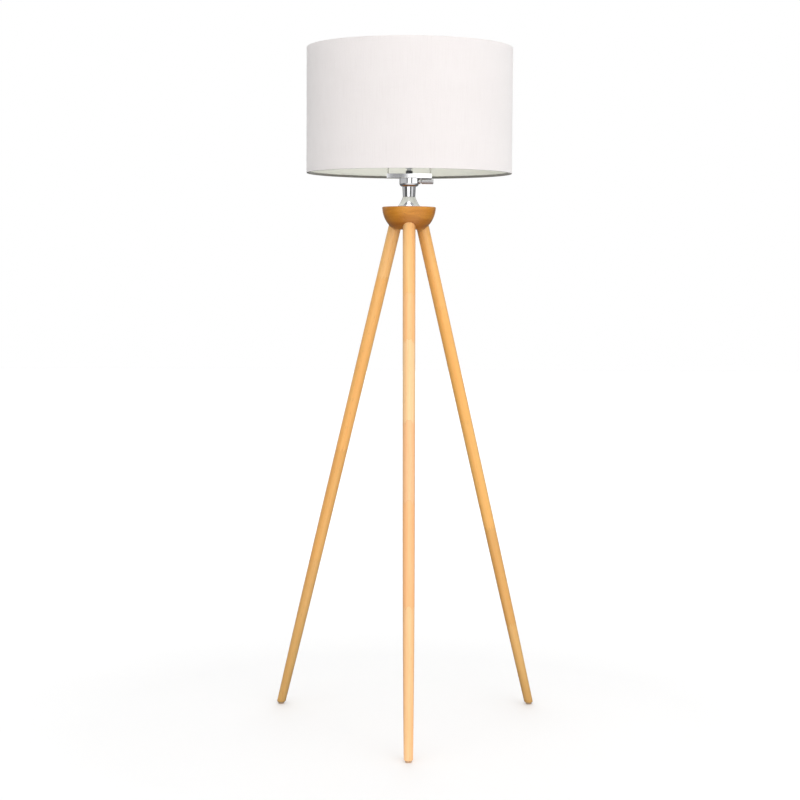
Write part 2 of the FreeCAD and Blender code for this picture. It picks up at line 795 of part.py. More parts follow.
def make_bulb():
    node(tube("bulb_tip", "0", "bulb_tip_radius",
              "bulb_tip_height", "bulb_tip_height + bulb_tip_thickness"), "bulb_tip")
    insulator = "bulb_tip_height + bulb_tip_thickness"
    node(tube("bulb_insulator", "0", "bulb_insulator_radius",
              insulator, insulator + " + bulb_insulator_thickness"), "bulb_insulator")
    node(turned("bulb_base", [
        ("bulb_insulator_radius + harp_gap", "bulb_base_low"),
        ("bulb_base_radius", "bulb_base_low"),
        ("bulb_base_radius", "bulb_base_high"),
        ("bulb_base_radius - bulb_base_wall", "bulb_base_high"),
        ("bulb_base_radius - bulb_base_wall", "bulb_base_low + bulb_base_wall"),
        ("bulb_insulator_radius + harp_gap", "bulb_base_low + bulb_base_wall"),
    ]), "bulb_base")
    node(turned("bulb_housing", [
        ("bulb_wire_hole", "bulb_base_high"),
        ("bulb_neck_radius", "bulb_base_high"),
        ("bulb_rim_radius", "bulb_rim_height"),
        ("bulb_rim_radius - bulb_wall", "bulb_rim_height"),
        ("bulb_neck_radius - bulb_wall", "bulb_base_high + bulb_wall"),
        ("bulb_wire_hole", "bulb_base_high + bulb_wall"),
    ]), "bulb_housing")
    node(tube("bulb_board", "0", "board_radius", "board_height", "board_height + board_thickness"),
         "bulb_board")
    # the globe meets the housing below its widest circle, so its outline bulges past the rim
    node(turned("bulb_globe", [
        ("bulb_rim_radius", "bulb_rim_height"),
        ("bulb_globe_radius", "bulb_globe_centre", "bulb_globe_radius"),
        ("0", "bulb_globe_centre + bulb_globe_radius", "bulb_globe_radius"),
        ("0", "bulb_globe_centre + bulb_globe_inner"),
        ("bulb_globe_inner", "bulb_globe_centre", "- bulb_globe_inner"),
        ("bulb_globe_inner_rim", "bulb_rim_height", "- bulb_globe_inner"),
    ]), "bulb_globe")


# ---- shade ----

def make_shade_skin():
    top = "lamp_height"
    low = "lamp_height - shade_height"
    inner_fabric = "shade_radius - fabric_thickness"
    outer_liner = inner_fabric + " - glue_gap"
    inner_liner = outer_liner + " - liner_thickness"
    node(tube("shade_fabric", inner_fabric, "shade_radius", low, top), "shade_fabric")
    node(tube("shade_liner", inner_liner, outer_liner,
              low + " + hem_thickness + glue_gap", top + " - hem_thickness - glue_gap"), "shade_liner")
    ring_centre = inner_liner + " - glue_gap - ring_wire_radius"
    skirt_outer = ring_centre + " - ring_wire_radius - glue_gap"
    skirt_inner = skirt_outer + " - hem_thickness"
    hem_edge = inner_fabric + " - glue_gap"
    for label, height in (("shade_ring_top", top + " - hem_thickness - glue_gap - ring_wire_radius"),
                          ("shade_ring_bottom", low + " + hem_thickness + glue_gap + ring_wire_radius")):
        ring = doc.addObject("Part::Torus", label)
        bind(ring, Radius1=ring_centre, Radius2="ring_wire_radius")
        node(move(ring, z=height), label)
    node(turned("shade_hem_bottom", [
        (skirt_inner, low),
        (hem_edge, low),
        (hem_edge, low + " + hem_thickness"),
        (skirt_outer, low + " + hem_thickness"),
        (skirt_outer, low + " + hem_depth"),
        (skirt_inner, low + " + hem_depth"),
    ]), "shade_hem_bottom")
    hem = turned("hem_top_blank", [
        (skirt_inner, top + " - hem_depth"),
        (skirt_outer, top + " - hem_depth"),
        (skirt_outer, top + " - hem_thickness"),
        (hem_edge, top + " - hem_thickness"),
        (hem_edge, top),
        (skirt_inner, top),
    ])
    slots = []
    arm_end = value(skirt_outer)
    for turn in SPIDER_TURNS:
        slot = doc.addObject("Part::Cylinder", "arm_slot_%d" % turn)
        bind(slot, Radius="arm_radius + arm_slot_gap", Height="hem_thickness + spare + spare")
        azimuth = math.radians(turn)
        outward = FreeCAD.Vector(math.cos(azimuth), math.sin(azimuth), 0)
        start = outward * (value(skirt_inner) - value("spare"))
        start.z = value(top + " - hem_thickness - glue_gap - ring_wire_radius")
        slot.Placement = FreeCAD.Placement(start, FreeCAD.Rotation(FreeCAD.Vector(0, 0, 1), outward))
        slots.append(slot)
    node(cut("shade_hem_top", hem, *slots), "shade_hem_top")
    return arm_end


def make_spider(arm_end):
    """Three arms welded to a centre washer, dropped below the shade's top ring."""
    washer_low = "seat_high + washer_gap"
    washer = tube("spider_washer", "washer_hole", "washer_radius",
                  washer_low, washer_low + " + washer_thickness")
    arm_low = value(washer_low) + value("washer_thickness") / 2
    arm_high = value("lamp_height - hem_thickness - glue_gap - ring_wire_radius")
    pieces = [washer]
    for turn in SPIDER_TURNS:
        azimuth = math.radians(turn)
        outward = FreeCAD.Vector(math.cos(azimuth), math.sin(azimuth), 0)
        stations = (
            (value("arm_start"), arm_low),
            (value("arm_flat_end"), arm_low),
            (value("arm_rise_end"), arm_high - value("arm_rise_drop")),
            (arm_end, arm_high),
        )
        route = [outward * reach + FreeCAD.Vector(0, 0, height) for reach, height in stations]
        pieces.append(rod("spider_arm_%d" % turn, route, value("arm_bend"), "arm_radius"))
    node(group("shade_spider", pieces, "Part::MultiFuse"), "shade_spider")


def make_finial():
    base = "seat_high + washer_gap + washer_thickness + washer_gap"
    collar = base + " + finial_collar_height"
    blank = turned("finial_turning_blank", [
        ("0", base),
        ("finial_collar_radius", base),
        ("finial_collar_radius", collar),
        ("finial_neck_radius", collar),
        ("finial_neck_radius", collar + " + finial_neck_height"),
        ("0", collar + " + finial_neck_height"),
    ])
    ball = doc.addObject("Part::Sphere", "finial_ball")
    bind(ball, Radius="finial_ball_radius")
    move(ball, z="finial_ball_height")
    whole = group("finial_whole", [blank, ball], "Part::MultiFuse")
    bore = tube("finial_bore", "0", "finial_bore", base + " - spare", "finial_bore_top")
    node(cut("finial", whole, bore), "finial")


def check_and_write():
    doc.recompute()
    for obj in doc.Objects:
        if "Invalid" in obj.State or "Error" in obj.State:
            raise RuntimeError("%s didn't recompute: %s" % (obj.Name, obj.State))
    os.makedirs("parts", exist_ok=True)
    for obj in nodes:
        shape = obj.Shape
        if shape.isNull() or not shape.isValid() or not shape.Solids:
            raise RuntimeError("%s has no valid solid" % obj.Label)
        shape.exportStep("parts/%s.step" % obj.Label)
        print("%-20s %2d solid(s) %12.1f mm3" % (obj.Label, len(shape.Solids), shape.Volume))


make_leg("leg_front", FRONT)
make_leg("leg_right", RIGHT)
make_leg("leg_left", LEFT)
make_foot_pad("foot_pad_front", FRONT)
make_foot_pad("foot_pad_right", RIGHT)
make_foot_pad("foot_pad_left", LEFT)
make_leg_fasteners()
make_hub()
make_stem()
make_husk_and_neck()
make_switch_housing()
make_rotary_switch()
make_harp()
make_lampholder()
make_leads()
make_bulb()
make_spider(make_shade_skin())
make_finial()
check_and_write()
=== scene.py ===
import math

import bmesh
import bpy
from mathutils import Matrix, Quaternion, Vector


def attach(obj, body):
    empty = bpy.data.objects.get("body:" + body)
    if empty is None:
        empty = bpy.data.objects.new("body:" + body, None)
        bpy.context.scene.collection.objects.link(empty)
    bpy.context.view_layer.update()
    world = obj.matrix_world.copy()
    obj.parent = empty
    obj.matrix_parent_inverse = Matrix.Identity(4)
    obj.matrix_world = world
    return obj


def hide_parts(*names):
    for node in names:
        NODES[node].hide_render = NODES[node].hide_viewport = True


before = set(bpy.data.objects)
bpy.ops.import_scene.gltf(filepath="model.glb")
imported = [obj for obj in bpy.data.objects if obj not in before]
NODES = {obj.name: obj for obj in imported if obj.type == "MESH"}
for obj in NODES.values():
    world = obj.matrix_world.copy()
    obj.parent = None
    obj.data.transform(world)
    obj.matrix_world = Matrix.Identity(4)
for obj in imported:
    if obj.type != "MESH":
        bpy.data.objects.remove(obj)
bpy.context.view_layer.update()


# ---- camera: at the photograph's viewing angle ----

CAMERA_DISTANCE = 4.0218
CAMERA_HEIGHT = 1.0289
CAMERA_PITCH = 0.07316
CAMERA_YAW = -0.00441
CAMERA_ROLL = 0.0054
LAMP_YAW = 0.016
LENS = 80.69

camera_data = bpy.data.cameras.new("camera")
camera_data.lens = LENS
camera_data.sensor_width = 36
camera_data.clip_start = 0.1
camera_data.clip_end = 60
camera = bpy.data.objects.new("camera", camera_data)
bpy.context.scene.collection.objects.link(camera)
bpy.context.scene.camera = camera
lamp_turn = Matrix.Rotation(-LAMP_YAW, 4, "Z")
camera.location = lamp_turn @ Vector((0, -CAMERA_DISTANCE, CAMERA_HEIGHT))
aim = lamp_turn @ Vector((
    math.sin(CAMERA_YAW) * math.cos(CAMERA_PITCH),
    math.cos(CAMERA_YAW) * math.cos(CAMERA_PITCH),
    -math.sin(CAMERA_PITCH),
))
camera.rotation_mode = "QUATERNION"
camera.rotation_quaternion = aim.to_track_quat("-Z", "Y") @ Quaternion((0, 0, 1), CAMERA_ROLL)


# ---- node kit ----

MIX_FACTOR, MIX_A, MIX_B, MIX_RESULT = 0, 6, 7, 2


class Tree:
    """A node tree, with short calls for the nodes used here.

    A source is a number, a colour or another node's output."""

    def __init__(self, tree):
        self.tree = tree

    def node(self, kind, **settings):
        made = self.tree.nodes.new("ShaderNode" + kind)
        for name, setting in settings.items():
            setattr(made, name, setting)
        return made

    def put(self, socket, source):
        if isinstance(source, bpy.types.NodeSocket):
            self.tree.links.new(source, socket)
        elif isinstance(source, tuple) and socket.type == "RGBA":
            socket.default_value = (*source, 1)
        else:
            socket.default_value = source

    def place(self):
        return self.node("TexCoord").outputs["Object"]

    def stretch(self, vector, scale):
        return self.vector("MULTIPLY", vector, scale)[0]

    def split(self, vector):
        parts = self.node("SeparateXYZ")
        self.put(parts.inputs[0], vector)
        return parts.outputs

    def join(self, x, y, z):
        parts = self.node("CombineXYZ")
        for socket, source in zip(parts.inputs, (x, y, z)):
            self.put(socket, source)
        return parts.outputs[0]

    def math(self, operation, a, b=0.5):
        made = self.node("Math", operation=operation)
        self.put(made.inputs[0], a)
        self.put(made.inputs[1], b)
        return made.outputs[0]

    def add(self, a, b):
        return self.math("ADD", a, b)

    def times(self, a, b):
        return self.math("MULTIPLY", a, b)

    def vector(self, operation, a, b=(0.0, 0.0, 0.0)):
        made = self.node("VectorMath", operation=operation)
        self.put(made.inputs[0], a)
        made.inputs[1].default_value = b
        return made.outputs

    def noise(self, vector, detail=3.0, roughness=0.5, distortion=0.0):
        made = self.node("TexNoise")
        self.put(made.inputs["Vector"], vector)
        made.inputs["Scale"].default_value = 1.0
        made.inputs["Detail"].default_value = detail
        made.inputs["Roughness"].default_value = roughness
        made.inputs["Distortion"].default_value = distortion
        return made.outputs[0]

    def steps(self, factor, low, high, to_low=0.0, to_high=1.0):
        """factor carried from low..high to to_low..to_high, and held at the ends."""
        made = self.node("MapRange")
        self.put(made.inputs[0], factor)
        for socket, setting in zip(made.inputs[1:5], (low, high, to_low, to_high)):
            socket.default_value = setting
        return made.outputs[0]

    def ramp(self, factor, stops):
        """A grey for each (position, level) stop, and straight between them."""
        made = self.node("ValToRGB")
        self.put(made.inputs[0], factor)
        elements = made.color_ramp.elements
        while len(elements) < len(stops):
            elements.new(1.0)
        for element, (position, level) in zip(elements, stops):
            element.position = position
            element.color = (level, level, level, 1)
        return made.outputs[0]

    def tint(self, factor, colour, by):
        """The colour multiplied by another, as far as factor says."""
        return self.mix(factor, colour, by, "MULTIPLY")

    def mix(self, factor, a, b, blend="MIX"):
        made = self.node("Mix", data_type="RGBA", blend_type=blend)
        self.put(made.inputs[MIX_FACTOR], factor)
        self.put(made.inputs[MIX_A], a)
        self.put(made.inputs[MIX_B], b)
        return made.outputs[MIX_RESULT]

    def bump(self, height, distance):
        made = self.node("Bump")
        made.inputs["Distance"].default_value = distance
        self.put(made.inputs["Height"], height)
        return made.outputs["Normal"]


class Finish(Tree):
    """A material. Settings that are the same all over go straight onto the shader's own sockets."""

    def __init__(self, name, **shader):
        self.material = bpy.data.materials.new(name)
        self.material.use_nodes = True
        super().__init__(self.material.node_tree)
        self.shader = self.tree.nodes["Principled BSDF"]
        self.set(**shader)

    def set(self, **sources):
        for socket, source in sources.items():
            self.put(self.shader.inputs[socket.replace("_", " ")], source)
        return self.material


def srgb(r, g, b):
    """A screen colour, 0 to 255 a channel, as linear light."""
    return tuple(c / 255 / 12.92 if c <= 10 else ((c / 255 + 0.055) / 1.055) ** 2.4 for c in (r, g, b))


# ---- materials ----

JOINT_TOOTH = 0.005
JOINT_PITCH = 0.0052
JOINT_LINE = 0.0005
WOOD_RELIEF = 0.00006


def leg_wood(name, offset, tones):
    """Finger-jointed light hardwood under a satin lacquer.

    tones are (distance down the leg, colour) from the top, and offset gives each leg its own grain."""
    f = Finish(name, Coat_Weight=0.25, Coat_Roughness=0.22, Specular_IOR_Level=0.45)
    place = f.place()
    x, y, z = f.split(place)
    tooth = f.math("PINGPONG", x, JOINT_PITCH / 2)
    along = f.add(z, f.times(tooth, JOINT_TOOTH / JOINT_PITCH * 4))
    grain_place = f.join(f.add(x, offset), y, f.add(z, offset))
    colour = tones[0][1]
    lines = None
    for start, tone in tones[1:]:
        beyond = f.math("GREATER_THAN", along, start)
        colour = f.mix(beyond, colour, tone)
        line = f.math("LESS_THAN", f.math("ABSOLUTE", f.math("SUBTRACT", along, start)), JOINT_LINE)
        lines = line if lines is None else f.math("MAXIMUM", lines, line)
    broad = f.noise(f.stretch(grain_place, (38, 38, 2.2)), detail=2)
    streak = f.noise(f.stretch(grain_place, (340, 340, 7)), detail=4, roughness=0.6)
    fleck = f.noise(f.stretch(grain_place, (1500, 1500, 62)), detail=2)
    fleck = f.steps(fleck, 0.655, 0.72)
    fleck = f.times(fleck, f.steps(broad, 0.35, 0.62, 0.25, 1.0))
    warm = f.steps(broad, 0.3, 0.7)
    colour = f.tint(f.times(warm, 0.30), colour, (1.0, 0.60, 0.27))
    colour = f.tint(f.steps(streak, 0.42, 0.78, 0.0, 0.42), colour, (0.96, 0.68, 0.42))
    colour = f.mix(f.times(fleck, 0.62), colour, (0.40, 0.20, 0.085))
    colour = f.mix(f.times(lines, 0.35), colour, (0.45, 0.24, 0.10))
    rough = f.steps(streak, 0.3, 0.8, 0.34, 0.46)
    ridges = f.math("SUBTRACT", f.times(streak, 0.35), f.add(fleck, lines))
    return f.set(Base_Color=colour, Roughness=rough, Normal=f.bump(ridges, WOOD_RELIEF))


def bowl_wood():
    """Honey-stained turned wood under a gloss lacquer, with painted shade making its foot and its flat top
    darker.
    """
    f = Finish("bowl_wood", Coat_Weight=0.6, Coat_Roughness=0.15, Specular_IOR_Level=0.3)
    place = f.place()
    x, y, z = f.split(place)
    bend = f.noise(f.stretch(place, (9, 9, 9)), detail=2)
    ring = f.join(f.add(x, f.times(bend, 0.03)), f.times(y, 0.3), z)
    growth = f.noise(f.stretch(ring, (16, 10, 95)), detail=3, distortion=0.4)
    streak = f.noise(f.stretch(place, (30, 900, 900)), detail=4, roughness=0.6)
    fleck = f.steps(f.noise(f.stretch(place, (70, 1400, 1400)), detail=2), 0.63, 0.70)
    colour = f.mix(f.steps(growth, 0.34, 0.66), srgb(213, 135, 38), srgb(236, 161, 57))
    # painted shade: darker towards the foot, for the underside that gets less light
    colour = f.tint(f.steps(z, 1.122, 1.152, 0.85, 0.0), colour, (0.52, 0.42, 0.34))
    colour = f.tint(f.steps(streak, 0.40, 0.75, 0.0, 0.40), colour, (0.66, 0.46, 0.30))
    colour = f.mix(f.times(fleck, 0.5), colour, (0.10, 0.04, 0.015))
    # painted shade: the flat top, in the shadow of the lampshade above it, made dark brown
    colour = f.tint(f.steps(z, 1.1652, 1.1658, 0.0, 0.85), colour, (0.24, 0.17, 0.13))
    lathe_lines = f.noise(f.stretch(f.join(0.0, 0.0, z), (1, 1, 1900)), detail=2)
    height = f.add(f.times(streak, 0.5), f.times(lathe_lines, 0.25))
    height = f.math("SUBTRACT", height, f.times(fleck, 0.8))
    rough = f.steps(streak, 0.3, 0.8, 0.30, 0.42)
    return f.set(Base_Color=colour, Roughness=rough, Normal=f.bump(height, WOOD_RELIEF))


def metal(name, colour, roughness, spread=0.05, grain=600, depth=0.000004):
    """Polished or brushed metal, with its roughness broken up by fine wear and handling marks."""
    f = Finish(name, Metallic=1.0)
    place = f.place()
    wear = f.noise(f.stretch(place, (grain, grain, grain)), detail=4, roughness=0.65)
    smear = f.noise(f.stretch(place, (45, 45, 45)), detail=2)
    both = f.add(f.times(wear, 0.6), f.times(smear, 0.4))
    tint = tuple(c * 0.93 for c in colour)
    base = f.mix(f.steps(smear, 0.3, 0.7), colour, tint)
    rough = f.steps(both, 0.35, 0.68, max(0.02, roughness - spread / 2), roughness + spread / 2)
    return f.set(Base_Color=base, Roughness=rough, Normal=f.bump(wear, depth))


def pressed_plate(lean=0.055, bow=0.32):
    """Chromed strip with a pressed face: its top leans a little forward and its length is a little bowed."""
    f = Finish("pressed_chrome", Metallic=1.0, Base_Color=(0.80, 0.80, 0.82))
    place = f.place()
    x, _, z = f.split(place)
    wear = f.noise(f.stretch(place, (600, 600, 600)), detail=4, roughness=0.65)
    crown = f.math("SUBTRACT", f.times(z, lean), f.times(f.times(x, x), bow))
    return f.set(Roughness=f.steps(wear, 0.3, 0.7, 0.04, 0.08), Normal=f.bump(crown, 1.0))


def plastic(name, colour, roughness, grain=2200, depth=0.00001, drift=0.90, **shader):
    """Moulded plastic or enamel with a fine eggshell texture."""
    f = Finish(name, **shader)
    place = f.place()
    fine = f.noise(f.stretch(place, (grain, grain, grain)), detail=2)
    cloud = f.noise(f.stretch(place, (60, 60, 60)), detail=3)
    base = f.mix(f.steps(cloud, 0.3, 0.7), colour, tuple(c * drift for c in colour))
    rough = f.steps(cloud, 0.3, 0.7, roughness - 0.04, roughness + 0.05)
    return f.set(Base_Color=base, Roughness=rough, Normal=f.bump(fine, depth))


THREAD = 0.00075
THREAD_JITTER = 2.2
CLOTH_RELIEF = 0.00012
SHADE_RADIUS = 0.2285


def linen(name, light, dark, contrast=1.0):
    """Plain-woven linen: threads round and up the shade, uneven in thickness, with slubs."""
    f = Finish(name, Roughness=0.92, Diffuse_Roughness=1.0, Sheen_Weight=0.35, Sheen_Roughness=0.5,
               Specular_IOR_Level=0.2)
    x, y, z = f.split(f.place())
    turn = f.times(f.math("ARCTAN2", x, f.times(y, -1.0)), SHADE_RADIUS)

    def cells(round_scale, up_scale, layer, detail):
        """Noise with its own scale round and up the shade."""
        return f.noise(f.join(f.times(turn, round_scale), f.times(z, up_scale), layer), detail=detail)

    def threads(along, jitter):
        """A wave with one thread to each half turn."""
        return f.math("SINE", f.add(f.times(along, math.pi / THREAD), f.times(jitter, THREAD_JITTER)))

    across = threads(turn, cells(420, 6, 0.0, 2))
    up = threads(z, cells(5, 420, 3.0, 2))
    over = f.steps(f.times(across, up), -0.25, 0.25)
    warp = f.math("ABSOLUTE", across)
    weft = f.math("ABSOLUTE", up)
    height = f.add(f.times(warp, over), f.times(weft, f.math("SUBTRACT", 1.0, over)))
    warp_slub = f.steps(cells(560, 16, 7.0, 3), 0.44, 0.72)
    weft_slub = f.steps(cells(13, 560, 9.0, 3), 0.44, 0.72)
    slub = f.math("MAXIMUM", f.times(weft_slub, 0.5), warp_slub)
    cloud = cells(9, 9, 1.0, 4)
    colour = f.mix(f.steps(height, 0.15, 0.85), dark, light)
    colour = f.tint(f.times(slub, 0.10 * contrast), colour, (0.62, 0.58, 0.56))
    colour = f.tint(f.steps(cloud, 0.3, 0.7, 0.0, 0.35 * contrast), colour, (0.955, 0.95, 0.95))
    relief = f.add(height, f.times(slub, 0.8))
    return f.set(Base_Color=colour, Normal=f.bump(relief, CLOTH_RELIEF))


def felt():
    """Pressed felt of matted hair."""
    f = Finish("felt", Roughness=0.97, Sheen_Weight=0.4, Sheen_Roughness=0.5, Specular_IOR_Level=0.1)
    place = f.place()
    hair = f.noise(f.stretch(place, (2600, 2600, 1500)), detail=4, roughness=0.7, distortion=1.2)
    colour = f.mix(f.steps(hair, 0.3, 0.7), srgb(178, 146, 116), srgb(220, 192, 162))
    return f.set(Base_Color=colour, Normal=f.bump(hair, CLOTH_RELIEF))


def frosted_globe():
    """White diffusing plastic, unlit."""
    f = Finish("frosted_globe", Roughness=0.42, Subsurface_Weight=0.25,
               Subsurface_Scale=0.004, Coat_Weight=0.1)
    place = f.place()
    dust = f.noise(f.stretch(place, (1500, 1500, 1500)), detail=3)
    colour = f.mix(f.steps(dust, 0.3, 0.7), srgb(246, 245, 241), srgb(238, 237, 232))
    return f.set(Base_Color=colour, Normal=f.bump(dust, 0.000012))


ROSE, PEACH, CREAM, HONEY, FLAX, STRAW = (
    srgb(252, 199, 132), srgb(252, 201, 142), srgb(253, 216, 165), srgb(251, 201, 150), srgb(252, 195, 138),
    srgb(252, 206, 152))
AMBER, GOLD, TAN, FAWN = srgb(255, 209, 136), srgb(254, 201, 121), srgb(246, 195, 117), srgb(241, 194, 121)
OCHRE, MAIZE, SIENNA = srgb(250, 195, 113), srgb(251, 194, 110), srgb(236, 184, 108)

# the lengths of board that each leg is joined from, by where each starts; on the side legs the lower boards
# are also made darker, as painted shade for the light falling off down the leg towards the floor
WOOD = {
    "front": leg_wood("wood_front", 0.31, [
        (0, ROSE), (0.30, PEACH), (0.405, CREAM), (0.585, HONEY), (0.76, FLAX), (0.984, STRAW)]),
    "right": leg_wood("wood_right", 1.87, [
        (0, OCHRE), (0.33, MAIZE), (0.60, OCHRE), (0.86, SIENNA), (1.10, FAWN)]),
    "left": leg_wood("wood_left", 2.66, [
        (0, AMBER), (0.26, GOLD), (0.67, TAN), (0.94, FAWN)]),
}
BOWL = bowl_wood()
CHROME = metal("chrome", (0.80, 0.80, 0.82), 0.055)
PLATED = metal("plated_wire", (0.86, 0.86, 0.84), 0.16, 0.08, grain=900, depth=0.00001)
PRESSED = pressed_plate()
SATIN = metal("satin_chrome", (0.62, 0.62, 0.64), 0.42, 0.08, grain=900, depth=0.000006)
NICKEL = metal("nickel", (0.66, 0.64, 0.61), 0.22, 0.08, grain=900, depth=0.00001)
ZINC = metal("zinc", (0.56, 0.58, 0.61), 0.34, 0.12, grain=420, depth=0.00002)
DARK_STEEL = metal("dark_steel", (0.09, 0.09, 0.10), 0.30, 0.1, grain=500, depth=0.00002)
BRASS = metal("brass", (0.80, 0.58, 0.25), 0.24, 0.1, grain=700, depth=0.00001)
BOARD = metal("board_aluminium", (0.80, 0.81, 0.82), 0.40, 0.1)
ENAMEL = plastic("white_enamel", srgb(232, 230, 225), 0.34, 900, 0.00002, Coat_Weight=0.2)
PHENOLIC = plastic("phenolic", srgb(38, 30, 26), 0.34)
BLACK = plastic("black_plastic", srgb(26, 26, 27), 0.42)
BULB_SHELL = plastic("bulb_shell", srgb(240, 240, 236), 0.28)
LEAD_BLACK = plastic("lead_black", srgb(24, 24, 24), 0.45)
LEAD_WHITE = plastic("lead_white", srgb(226, 226, 220), 0.45)
BACKING = plastic("shade_backing", srgb(232, 233, 225), 0.62, 1300, 0.00003, 0.97, Specular_IOR_Level=0.3)
LINEN = linen("linen", srgb(245, 241, 240), srgb(234, 230, 229))
TAPE = linen("hem_tape", srgb(138, 136, 130), srgb(108, 106, 101), 0.6)
FELT = felt()
GLOBE = frosted_globe()


# ---- shape kit ----

SUPPORT = 0.12
SHARP = math.radians(32)


def swung(start, end, share):
    """The spoke that lies a share of the way round from one spoke of a circle to another."""
    turn = start.angle(end)
    return (start * math.sin((1 - share) * turn) + end * math.sin(share * turn)) / math.sin(turn)


def softened(corners, closed=True, steps=5):
    """The outline, in millimetres, with each corner (radius, height, rounding) turned into an arc."""
    outline = []
    last = len(corners) - 1
    for i, corner in enumerate(corners):
        point = Vector(corner[:2])
        rounding = corner[2] if len(corner) > 2 else 0
        if not rounding or (not closed and i in (0, last)):
            outline.append(tuple(point))
            continue
        before = Vector(corners[i - 1][:2]) - point
        after = Vector(corners[(i + 1) % len(corners)][:2]) - point
        half = before.angle(after) / 2
        reach = min(rounding / math.tan(half), before.length * 0.48, after.length * 0.48)
        before.normalize()
        after.normalize()
        centre = point + (before + after).normalized() * (reach / math.cos(half))
        start = point + before * reach - centre
        end = point + after * reach - centre
        outline += [tuple(centre + swung(start, end, k / steps)) for k in range(steps + 1)]
    return supported(outline, closed)


def supported(outline, closed):
    """The outline with a point just inside each end of its long runs, to keep their shading straight."""
    full = []
    following = outline[1:] + outline[:1] if closed else outline[1:]
    for here, there in zip(outline, following):
        run = Vector(there) - Vector(here)
        full.append(here)
        if run.length > 8 * SUPPORT:
            inset = run.normalized() * SUPPORT
            full += [tuple(Vector(here) + inset), tuple(Vector(there) - inset)]
    return full if closed else full + outline[-1:]


def finished(bm):
    """The mesh, smooth but for its sharp edges."""
    bmesh.ops.recalc_face_normals(bm, faces=bm.faces)
    mesh = bpy.data.meshes.new("mesh")
    bm.to_mesh(mesh)
    bm.free()
    mesh.shade_smooth()
    mesh.set_sharp_from_angle(angle=SHARP)
    return mesh


def bridge(bm, one, other):
    """Faces between two rings of vertices, either of which can be a single point."""
    if len(one) == 1 and len(other) == 1:
        return
    count = max(len(one), len(other))
    for k in range(count):
        after = (k + 1) % count
        corners = []
        for vert in (one[k % len(one)], one[after % len(one)],
                     other[after % len(other)], other[k % len(other)]):
            if vert not in corners:
                corners.append(vert)
        bm.faces.new(corners)


def lathe(profile, turns=128, shape=None):
    """A mesh turned about Z from (radius, height) points in millimetres.

    A profile that starts and ends on the axis is solid, and any other is closed into a ring.
    shape(angle, radius, height) gives the change in radius."""
    bm = bmesh.new()
    rings = []
    for radius, height in profile:
        if radius < 1e-6:
            rings.append([bm.verts.new((0, 0, height / 1000))])
            continue
        ring = []
        for k in range(turns):
            angle = 2 * math.pi * k / turns
            r = (radius + (shape(angle, radius, height) if shape else 0)) / 1000
            ring.append(bm.verts.new((r * math.cos(angle), r * math.sin(angle), height / 1000)))
        rings.append(ring)
    for one, other in zip(rings, rings[1:]):
        bridge(bm, one, other)
    if len(rings[0]) > 1 and len(rings[-1]) > 1:
        bridge(bm, rings[-1], rings[0])
    return finished(bm)


def column(radius, low, high, count):
    """Points straight up a cylinder, close enough to press a shape into."""
    return [(radius, low + (high - low) * k / count) for k in range(count + 1)]


def threaded(least_radius, low, high, pitch, depth):
    """A shape for lathe: a rounded screw thread on the wall between two heights."""
    def cut(angle, radius, height):
        if radius < least_radius or not low < height < high:
            return 0
        return -depth * (0.5 - 0.5 * math.cos(2 * math.pi * height / pitch - angle))
    return cut


def piece(name, mesh, body, material, stands_for=(), at=None):
    """A visible piece that rides on a body, and stands for the CAD nodes named."""
    obj = bpy.data.objects.new(name, mesh)
    bpy.context.scene.collection.objects.link(obj)
    if at is not None:
        obj.matrix_world = at
    mesh.materials.append(material)
    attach(obj, body)
    if stands_for:
        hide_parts(*stands_for)
    return obj


def finish_node(name, material, bevel=0.0):
    """A CAD node keeps its shape and gets a material, and its edges broken by a bevel in millimetres."""
    obj = NODES[name]
    obj.data.materials.clear()
    obj.data.materials.append(material)
    if not bevel:
        return
    weld = obj.modifiers.new("weld", "WELD")
    weld.merge_threshold = 0.000001
    edge = obj.modifiers.new("edge", "BEVEL")
    edge.width = bevel / 1000
    edge.segments = 2
    edge.limit_method = "ANGLE"
    edge.angle_limit = math.radians(40)
    edge.harden_normals = True
    obj.data.shade_smooth()


# ---- legs ----

APEX_HEIGHT = 1255.0
FOOT_CIRCLE = 340.0
TILT = math.atan2(FOOT_CIRCLE, APEX_HEIGHT)
PAD_TOP = 3.5
FOOT_ROUND = 3.2
LEG_TURNS = 64

# along the leg, from the apex where the three axes meet
LEG_TOP = 118.5
TAPER_FROM, TAPER_TO = 118.0, 780.0
# the stretch above the foot over which the rings turn level with the floor
LEVELLED = 41.5
HEAD_RADIUS, WAIST_RADIUS = 14.2, 13.2
FOOT_SLOPE, FOOT_CURVE = 0.00156, 108380


def leg_radius(s):
    """The turned leg's radius, s millimetres down its axis: nearly straight, then tapering to the foot."""
    if s < TAPER_TO:
        return HEAD_RADIUS - (s - TAPER_FROM) / (TAPER_TO - TAPER_FROM)
    below = s - TAPER_TO
    return WAIST_RADIUS - FOOT_SLOPE * below - below * below / FOOT_CURVE


def leg_stations(foot):
    """(distance down the axis, change in radius, how level the cut is) for each ring of the leg."""
    stations = [(LEG_TOP + s, shrink, 0.0) for s, shrink in ((0.0, -1.0), (0.6, -0.35), (1.5, 0.0))]
    turned = foot - LEVELLED - LEG_TOP
    stations += [(LEG_TOP + turned * k / 60, 0.0, 0.0) for k in range(16, 61)]
    rounding = FOOT_ROUND / math.cos(TILT)
    last, level = stations[-1][0], foot - rounding
    stations += [(last + (level - last) * k / 8, 0.0, k / 8) for k in range(1, 9)]
    for k in range(1, 8):
        turn = math.pi / 2 * k / 7
        stations.append((level + rounding * math.sin(turn), -FOOT_ROUND * (1 - math.cos(turn)), 1.0))
    return stations


